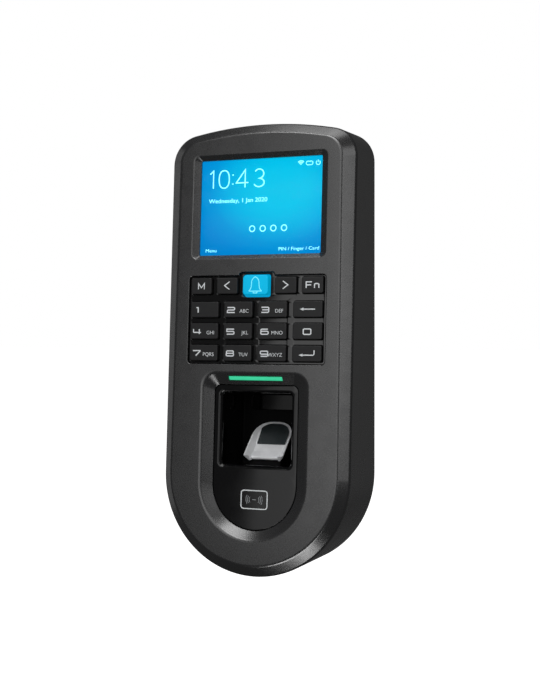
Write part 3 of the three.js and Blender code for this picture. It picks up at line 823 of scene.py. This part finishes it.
# Squarish figures on a grid 4 wide and 2.4 high: the strokes of each one.
FIGURES = {
    "1": [[(0.6, 2.4), (1.5, 2.4), (1.5, 0)]],
    "2": [[(0, 2.4), (3.1, 2.4), (3.5, 2.1), (3.5, 1.5), (3.1, 1.2), (0.4, 1.2), (0, 0.9), (0, 0), (3.6, 0)]],
    "3": [[(0, 2.4), (3.1, 2.4), (3.5, 2.1), (3.5, 0.3), (3.1, 0), (0, 0)], [(0.4, 1.2), (3.4, 1.2)]],
    "4": [[(0, 2.4), (0, 1.1), (0.3, 0.8), (3.7, 0.8)], [(2.9, 2.4), (2.9, 0)]],
    "5": [[(3.5, 2.4), (0, 2.4), (0, 1.3), (3.1, 1.3), (3.5, 1.0), (3.5, 0.3), (3.1, 0), (0, 0)]],
    "6": [[(3.3, 2.4), (0.4, 2.4), (0, 2.1), (0, 0.3), (0.4, 0), (3.1, 0), (3.5, 0.3), (3.5, 1.1), (3.1, 1.4),
           (0, 1.4)]],
    "7": [[(0, 2.4), (3.5, 2.4), (3.5, 2.1), (1.4, 0)]],
    "8": [[(0.4, 1.25), (0.1, 1.5), (0.1, 2.1), (0.4, 2.4), (3.1, 2.4), (3.4, 2.1), (3.4, 1.5), (3.1, 1.25),
           (0.4, 1.25), (0, 1.0), (0, 0.3), (0.4, 0), (3.1, 0), (3.5, 0.3), (3.5, 1.0), (3.1, 1.25)]],
    "9": [[(3.5, 1.0), (0.4, 1.0), (0, 1.3), (0, 2.1), (0.4, 2.4), (3.1, 2.4), (3.5, 2.1), (3.5, 0.3),
           (3.1, 0), (0.2, 0)]],
    "0": [[(0.4, 0), (0, 0.3), (0, 2.1), (0.4, 2.4), (3.1, 2.4), (3.5, 2.1), (3.5, 0.3), (3.1, 0), (0.4, 0)]],
    "M": [[(0, 0), (0, 2.3), (1.3, 0.6), (2.6, 2.3), (2.6, 0)]],
    "F": [[(0, 0), (0, 2.4), (2.4, 2.4)], [(0, 1.2), (2.1, 1.2)]],
    "n": [[(0, 0), (0, 1.7)], [(0, 1.35), (0.4, 1.7), (1.4, 1.7), (1.8, 1.4), (1.8, 0)]],
    "<": [[(2.2, 2.9), (0, 1.35), (2.2, -0.2)]],
    ">": [[(0, 2.9), (2.2, 1.35), (0, -0.2)]],
}
LETTERS = {"2": "ABC", "3": "DEF", "4": "GHI", "5": "JKL", "6": "MNO", "7": "PQRS", "8": "TUV", "9": "WXYZ"}
PLAIN = {"key_menu": "M", "key_left": "<", "key_right": ">"}


def placed(figure, x, z, wide=1.0, high=1.0):
    return [[(x + px * wide, z + pz * high) for px, pz in path] for path in FIGURES[figure]]


def legend(node, area, front):
    """The key's printed mark: strokes and small letters, flush with the cap's face."""
    x0, x1, z0, z1 = area
    cx, cz = (x0 + x1) / 2, (z0 + z1) / 2
    ink = front - 0.02
    name = node + "_legend"
    width = 0.42 if node in PLAIN or node in ("key_back", "key_enter") else 0.46
    if node in PLAIN:
        figure = PLAIN[node]
        wide = 2.6 if figure == "M" else 2.2
        paths = placed(figure, cx - wide / 2, cz - 1.25)
    elif node == "key_function":
        paths = placed("F", cx - 2.6, cz - 1.25) + placed("n", cx + 0.9, cz - 1.25)
    elif node == "key_bell":
        bell_mark(name, cx, cz, ink)
        return
    elif node == "key_back":
        paths = [[(cx + 3.1, cz), (cx - 2.2, cz)]]
        arrow_head(name + "_head", cx - 3.3, cz, ink, node)
    elif node == "key_enter":
        paths = [[(cx + 3.1, cz + 1.35), (cx + 3.1, cz - 0.2), (cx + 2.7, cz - 0.6), (cx - 2.2, cz - 0.6)]]
        arrow_head(name + "_head", cx - 3.3, cz - 0.6, ink, node)
    elif node == "key_0":
        paths = placed("0", cx - 1.6, cz - 1.2, 0.9, 0.88)
    else:
        digit = node[-1]
        small = LETTERS.get(digit)
        start = x0 + (2.0 if digit == "1" else 1.5)
        paths = placed(digit, start, cz - 1.2, 0.9, 0.84)
        if small:
            letters = words(name + "_letters", small, x1 - 1.5, cz - 1.3, 1.5, ink, PRINT_PAINTED_GLOW,
                            "RIGHT", 1.0, -0.01)
            hold(letters, node, "key_plastic")
    item = stroke(name, paths, width, ink, PRINT_PAINTED_GLOW)
    hold(item, node, "key_plastic")


def arrow_head(name, x, z, ink, node):
    """A solid triangle pointing left."""
    tip = [(x, z), (x + 1.6, z - 0.62), (x + 1.6, z + 0.62)]
    head = Solid().closed([ring_at(tip, ink + 0.06), ring_at(tip, ink)])
    hold(head.piece(name, PRINT_PAINTED_GLOW, flat=True), node, "key_plastic")


def bell_mark(name, cx, cz, ink):
    """Outline bell: crown, flared skirt, clapper."""
    half = [(0.0, 3.25), (0.5, 2.95), (0.95, 2.6), (1.4, 2.0), (1.6, 1.2), (1.65, 0.0), (1.8, -1.1),
            (2.15, -1.8), (2.7, -2.4)]
    right = [(cx + x, cz + z) for x, z in half]
    left = [(cx - x, cz + z) for x, z in reversed(half[1:])]
    clapper = [(cx - 0.85, cz - 2.5), (cx - 0.75, cz - 3.2), (cx + 0.75, cz - 3.2), (cx + 0.85, cz - 2.5)]
    item = stroke(name, [left + right + [(cx + 2.7, cz - 2.45), (cx - 2.7, cz - 2.45)], clapper],
                  0.32, ink, BELL_INK)
    hold(item, "key_bell", "bell_key")


# ---- Reader ----


def reader():
    """The fascia with its finger opening, and everything in and on it."""
    low, high = face_box("reader_fascia")
    front, rear = low.y, high.y
    inner = reader_outline(RECESS_INNER, -GAP)
    fascia = Solid()
    outer_profile = soften([(0, rear), (0, front), (2, front)], 0.25, 4)[1:-1]
    rings = [ring_at(inner, rear)]
    rings += [ring_at(reader_outline(RECESS_INNER, -GAP - p[0]), p[1]) for p in outer_profile]
    first, last = fascia.skin(rings)
    lip = soften([(-2, front), (0, front), (1.0, front + 1.2), (1.0, rear)], [0, 0.45, 0.5, 0], 6)[1:]
    lip_rings = [ring_at(rectangle(FINGER_OPENING, WELL_CORNER - max(0.0, p[0]) * 0.8, 10, -p[0]), p[1])
                 for p in lip]
    hole_first, hole_last = fascia.skin(lip_rings)
    fascia.fill(last, [hole_first])
    fascia.fill(first, [hole_last])
    item = fascia.piece("reader_fascia_moulding", GLOSS)
    tidy_normals(item)
    hold(item, "housing", "gloss_black", "reader_fascia")

    sensor_well()
    low, high = face_box("well_window")
    area = (low.x, high.x, low.z, high.z)
    item = slab("well_window_cover", lambda g: rectangle(area, 1.8, 8, -g), low.y, high.y, WELL_COVER, 0.35)
    tidy_normals(item)
    hold(item, "housing", "gloss_black", "well_window")

    finger_guide()
    light_bar()
    card_mark()


def sensor_well():
    """The finger well: a tray with a glossy wall and a matt back."""
    low, high = face_box("sensor_well")
    wall = WELL_WALL_THICKNESS
    inside = (low.x + wall, high.x - wall, low.z + wall, high.z - wall)
    well = Solid()
    floor = high.y - wall
    depth = soften([(0, low.y), (0, floor), (4, floor)], 1.2, 6)[:-1]
    outside = rectangle(inside, WELL_CORNER, 8, wall)
    rings = [ring_at(outside, high.y), ring_at(outside, low.y)]
    rings += [ring_at(rectangle(inside, 1.6, 8, -p[0]), p[1]) for p in depth]
    item = well.closed(rings).piece("sensor_well_moulding", WELL_WALL)
    item.data.materials.append(WELL_BACK)
    for face in item.data.polygons:
        centre = TO_FACE @ (face.center / MM)
        if floor - 1.25 < centre.y < high.y - 0.05:
            face.material_index = 1
    tidy_normals(item)
    hold(item, "housing", "gloss_black", "sensor_well")


# ---- Finger guide: measured down its slope, which starts at this depth and height ----

GUIDE_DEPTH = 10.6
GUIDE_HEIGHT = -42.5
WELL_FLOOR = face_box("sensor_well")[1].y - 1.6
SLOPE = FACE @ Matrix.Translation((0, GUIDE_DEPTH, GUIDE_HEIGHT)) @ Matrix.Rotation(-math.pi / 4, 4, "X")


def box_tool(name, x, y, z, matrix):
    """A block used to cut another piece, given its ranges of x, depth and height."""
    block = Solid()
    sides = [(x[0], z[0]), (x[1], z[0]), (x[1], z[1]), (x[0], z[1])]
    return block.closed([ring_at(sides, y[1]), ring_at(sides, y[0])]).piece(name, SILVER, matrix)


def behind_well():
    """Everything behind the well's floor, to be cut away."""
    return box_tool("cut_behind", (-20, 20), (WELL_FLOOR, 60), (-80, 20), FACE)


def finger_guide():
    """Silver tray: cheeks with a thin rim, an undercut back, a ramp, and the platen rising to the rim."""
    half, length, thick, rim, sink, floor_half, lip = 8.6, 19.4, 3.8, 0.5, 2.5, 6.3, 1.5
    undercut = 2.6
    outer = arch_outline(half, 0, length, 0.7)
    inner = arch_outline(floor_half, 0.05, length - 0.6, 0.3)
    wall_top = rim / (half - floor_half)
    # (how far in from the outline to the floor's edge, how far down from the cheek's top)
    section = [(0, 0.5), (0, 0), (wall_top, 0), (1, sink), (1.3, sink)]
    section = soften(section, [0, 0.1, 0.1, 0.2, 0], 5)[1:-1]
    guide = Solid()
    foot = [(x * (half - undercut) / half, z - 0.35) for x, z in outer]
    rings = [ring_at(foot, thick), ring_at(outer, 0.7)]
    rings += [ring_at(between(outer, inner, min(across, 1.0)), down) for across, down in section]
    item = guide.closed(rings).piece("finger_guide_plating", SILVER, SLOPE)

    hole = arch_outline(5.2, 9.2, 17.8, 0.2)
    seat = Solid().closed([ring_at(hole, 6), ring_at(hole, -1)])
    carve(item, seat.piece("cut_seat", SILVER, SLOPE),
          box_tool("cut_front", (-floor_half + 0.1, floor_half - 0.1), (-1, thick + 1), (-3, lip), SLOPE),
          box_tool("cut_below", (-20, 20), (-10, 40), (-90, GUIDE_HEIGHT - 1.9), FACE),
          behind_well())
    tidy_normals(item)
    hold(item, "housing", "silver", "finger_guide")

    # The lip: a rounded nose where the ramp turns down, and a band of fine ribs behind it.
    nose = Solid()
    width = floor_half - 0.15
    profile = [(sink + 0.6 + 0.7 * math.cos(a), lip + 0.5 - 0.75 * math.sin(a))
               for a in (math.radians(i * 15) for i in range(13))]
    nose.strip([face_point(x, z, depth) for depth, z in profile] for x in (-width, width))
    item = nose.piece("finger_guide_lip", SILVER, SLOPE)
    tidy_normals(item)
    hold(item, "housing", "silver")

    ribs = Solid()
    count, reach, rib_half, root, crest = 21, 5.8, 0.2, sink + 0.05, sink - 0.24
    for i in range(count):
        x = -reach + 2 * reach * i / (count - 1)
        profile = ((x - rib_half, root), (x, crest), (x + rib_half, root))
        ribs.strip([face_point(px, z, depth) for px, depth in profile] for z in (lip + 0.4, lip + 3.4))
    hold(ribs.piece("finger_guide_ribs", SILVER, SLOPE, flat=True), "housing", "silver")
    platen(sink, floor_half, half - rim, length)


def platen(sink, low_half, high_half, length):
    """The sensor's dark glass: near the tray's floor at its front edge, just below the rim at its far end."""
    start, near, far, gap = 8.8, 2.1, 0.35, 0.12
    low_line = arch_outline(low_half - gap, start, length - 0.6 - gap, 0.2)
    high_line = arch_outline(high_half - gap, start, length - 0.4 - gap, 0.2)

    def level(z):
        return near + (far - near) * (z - start) / (length - start)

    def ring(inset, drop, left, right):
        """The edge where the tray's wall meets the glass, moved in and down a little, between two sides."""
        points = []
        for (x0, z0), (x1, z1) in zip(low_line, high_line):
            share = (sink - level(z1)) / sink
            x, z = x0 + (x1 - x0) * share, z0 + (z1 - z0) * share
            inward = Vector((-x, (start + length) / 2 - z)).normalized() * inset
            x, z = x + inward.x, z + inward.y
            points.append(face_point(max(-left, min(right, x)), z, level(z) + drop))
        return points

    def plate(name, material, left, right, drop):
        """A plate in the tray, cut off at its left and right reach, its surface lower by the drop."""
        base = ring_at([(max(-left, min(right, x)), z) for x, z in low_line], sink + 0.1)
        edge = [ring(inset, drop + down, left, right)
                for inset, down in ((0.0, 0.12), (0.05, 0.03), (0.14, 0.0))]
        item = Solid().closed([base, *edge]).piece(name, material, SLOPE)
        carve(item, behind_well())
        tidy_normals(item)
        return item

    # A silver bed fills the tray. The glass lies in it, and reaches further right than left.
    whole = 20
    hold(plate("sensor_bed", SILVER, whole, whole, 0.1), "housing", "silver")
    hold(plate("sensor_glass", PLATEN, 5.9, 6.9, 0), "housing", "platen_glass", "sensor_platen")


def light_bar():
    """The green light guide, its front following the slope of the reader recess."""
    low, high = face_box("led_light_guide")
    slope = RECESS_DEPTH / (RECESS_OUTER[1] - RECESS_INNER[1])

    def front(z):
        return (RECESS_OUTER[1] - z) * slope + 0.02

    bar = Solid()
    area = (low.x, high.x, low.z, high.z)
    rings = [ring_at(rectangle(area, 0.35, 5), high.y),
             ring_at(rectangle(area, 0.35, 5), lambda z: front(z) + 0.12),
             ring_at(rectangle(area, 0.25, 5, -0.1), front)]
    item = bar.closed(rings).piece("light_bar", LIGHT)
    tidy_normals(item)
    hold(item, "housing", "led_green", "led_light_guide")


def card_mark():
    """Printed card outline with radio waves either side of a short dash."""
    low, _ = face_box("reader_fascia")
    ink = low.y - 0.02
    left, right, bottom, top = CARD_MARK
    cx, cz = (left + right) / 2, (bottom + top) / 2
    # The strokes glow faintly: painted brightness on the print.
    frame_line = stroke("card_mark_frame", [rectangle(CARD_MARK, 1.1, 6)], 0.42, ink, PRINT_PAINTED_GLOW, closed=True)
    hold(frame_line, "housing", "gloss_black")
    waves = [[(cx - 0.85, cz), (cx + 0.85, cz)]]
    for radius in (2.1, 2.8, 3.5):
        for middle in (0, 180):
            waves.append(circle_path(cx, cz, radius, middle - 30, middle + 30, 10))
    hold(stroke("card_mark_waves", waves, 0.24, ink, FAINT_PRINT_PAINTED_GLOW), "housing", "gloss_black")


# ---- Carried-over nodes ----

# Each node's material and how far its edges are eased, in millimetres.
CARRIED = {
    "rear_shell": (REAR, 0.35), "wall_plate": (STEEL, 0.2), "network_socket": (NICKEL, 0.15),
    "terminal_power": (TERMINAL, 0.15), "terminal_signal": (TERMINAL, 0.15),
    "tamper_plunger": (SILICONE, 0.2), "tamper_switch": (CHIP, 0.15), "lock_screw": (STEEL, 0.12),
    "main_board": (BOARD, 0.1), "keypad_mat": (SILICONE, 0.1), "keypad_board": (BOARD, 0.1),
    "lcd_panel": (CHIP, 0.1), "lcd_bracket": (STEEL, 0.1), "sensor_module": (WELL_BACK, 0.2),
    "sensor_board": (BOARD, 0.1), "led_board": (BOARD, 0.1), "card_antenna": (BOARD, 0.1),
    "processor": (CHIP, 0.15), "relay": (CHIP, 0.2), "coin_cell": (STEEL, 0.2), "buzzer": (CHIP, 0.2),
}
for index in range(1, 5):
    CARRIED[f"housing_screw_{index}"] = (STEEL, 0.12)
    CARRIED[f"board_screw_{index}"] = (STEEL, 0.12)


def carried_nodes():
    """CAD nodes whose shape is right: eased edges and their own material."""
    for node, (material, edge) in CARRIED.items():
        item = NODES[node]
        item.data.materials.clear()
        item.data.materials.append(material)
        bevel = item.modifiers.new("eased_edges", "BEVEL")
        bevel.width = edge * MM
        bevel.segments = 2
        bevel.limit_method = "ANGLE"
        bevel.angle_limit = math.radians(35)
        bevel.use_clamp_overlap = True


# ---- Camera, floor and light ----


def camera():
    """Stands to the right of the terminal and a little above its middle, turned towards it."""
    azimuth, elevation = math.radians(22.995), math.radians(1.333)
    reference = Vector((0, RIM_Y - 20, 0)) * MM
    roll = math.radians(-0.101)
    across, up, away = -2.178 * MM, 0.502 * MM, 515.005 * MM
    forward = Vector((-math.sin(azimuth) * math.cos(elevation), math.cos(azimuth) * math.cos(elevation),
                      -math.sin(elevation)))
    right = Vector((math.cos(azimuth), math.sin(azimuth), 0))
    upward = right.cross(forward)
    place = reference - (right * across + upward * up + forward * away)
    data = bpy.data.cameras.new("camera")
    data.lens = 65.75
    data.sensor_width = 36
    data.clip_start = 0.01
    item = bpy.data.objects.new("camera", data)
    basis = Matrix((right, upward, -forward)).transposed().to_4x4()
    item.matrix_world = Matrix.Translation(place) @ basis @ Matrix.Rotation(roll, 4, "Z")
    bpy.context.scene.collection.objects.link(item)
    bpy.context.scene.camera = item


# Each softbox: where it stands, its width and height (metres), how far its upright edges lean to
# the right (degrees), and its power. All of them face AIM.
AIM = Vector((0, -0.03, 0))
SOFTBOXES = [
    ("near_panel", (-0.072, -1.0, 0.25), 0.62, 0.9, 9.7, 1.29),
    ("bright_panel", (-0.10, -0.98, 0.25), 0.40, 0.9, 9.7, 0.39),
    ("key_panel", (-0.1, -0.7, 0.8), 0.6, 0.4, 0, 3.8),
    ("top_panel", (0.0, -0.12, 1.0), 0.7, 0.4, 0, 2.0),
    ("right_front_panel", (0.75, -0.75, 0.3), 0.4, 0.8, 0, 1.3),
    ("left_rim_strip", (-1.0, 0.12, 0.1), 0.25, 1.0, 0, 0.31),
    ("right_back_panel", (0.6, 0.9, 0.1), 0.5, 1.0, 0, 0.1),
    ("low_panel", (0.1, -0.6, -0.8), 0.6, 0.4, 0, 4.5),
]
AMBIENT = 0.075


def softbox(name, place, width, height, lean, power):
    data = bpy.data.lights.new(name, "AREA")
    data.shape = "RECTANGLE"
    data.size, data.size_y = width, height
    data.energy = power
    item = bpy.data.objects.new(name, data)
    face = (AIM - Vector(place)).to_track_quat("-Z", "Y").to_matrix().to_4x4()
    item.matrix_world = Matrix.Translation(place) @ face @ Matrix.Rotation(math.radians(-lean), 4, "Z")
    bpy.context.scene.collection.objects.link(item)


def studio():
    """White background, pale floor, a weak even light and the softboxes."""
    scene = bpy.context.scene
    scene.view_settings.view_transform = "Standard"
    world = bpy.data.worlds.new("studio")
    world.use_nodes = True
    tree = world.node_tree
    seen = tree.nodes["Background"]
    seen.inputs["Color"].default_value = (1, 1, 1, 1)
    seen.inputs["Strength"].default_value = 1.0
    ambient = tree.nodes.new("ShaderNodeBackground")
    ambient.inputs["Color"].default_value = (1, 1, 1, 1)
    ambient.inputs["Strength"].default_value = AMBIENT
    path = tree.nodes.new("ShaderNodeLightPath")
    mix = tree.nodes.new("ShaderNodeMixShader")
    tree.links.new(path.outputs["Is Camera Ray"], mix.inputs[0])
    tree.links.new(ambient.outputs[0], mix.inputs[1])
    tree.links.new(seen.outputs[0], mix.inputs[2])
    tree.links.new(mix.outputs[0], tree.nodes["World Output"].inputs["Surface"])
    scene.world = world

    floor_mesh = bpy.data.meshes.new("floor")
    size, level = 6.0, (BOTTOM - 60) * MM
    corners = [(x * size, y * size, level) for x, y in ((-1, -1), (1, -1), (1, 1), (-1, 1))]
    floor_mesh.from_pydata(corners, [], [(0, 1, 2, 3)])
    pale = Nodes("pale_floor")
    pale.set(Base_Color=(0.9, 0.9, 0.9, 1.0), Roughness=0.9)
    pale.set(Emission_Color=(1, 1, 1, 1), Emission_Strength=1.0)
    floor = add_object("floor", floor_mesh, pale.material)
    floor.visible_diffuse = False
    floor.visible_glossy = False

    for box in SOFTBOXES:
        softbox(*box)


camera()
front_shell()
screen()
keypad_panel()
for key in KEY_NAMES:
    key_cap(key)
reader()
carried_nodes()
studio()
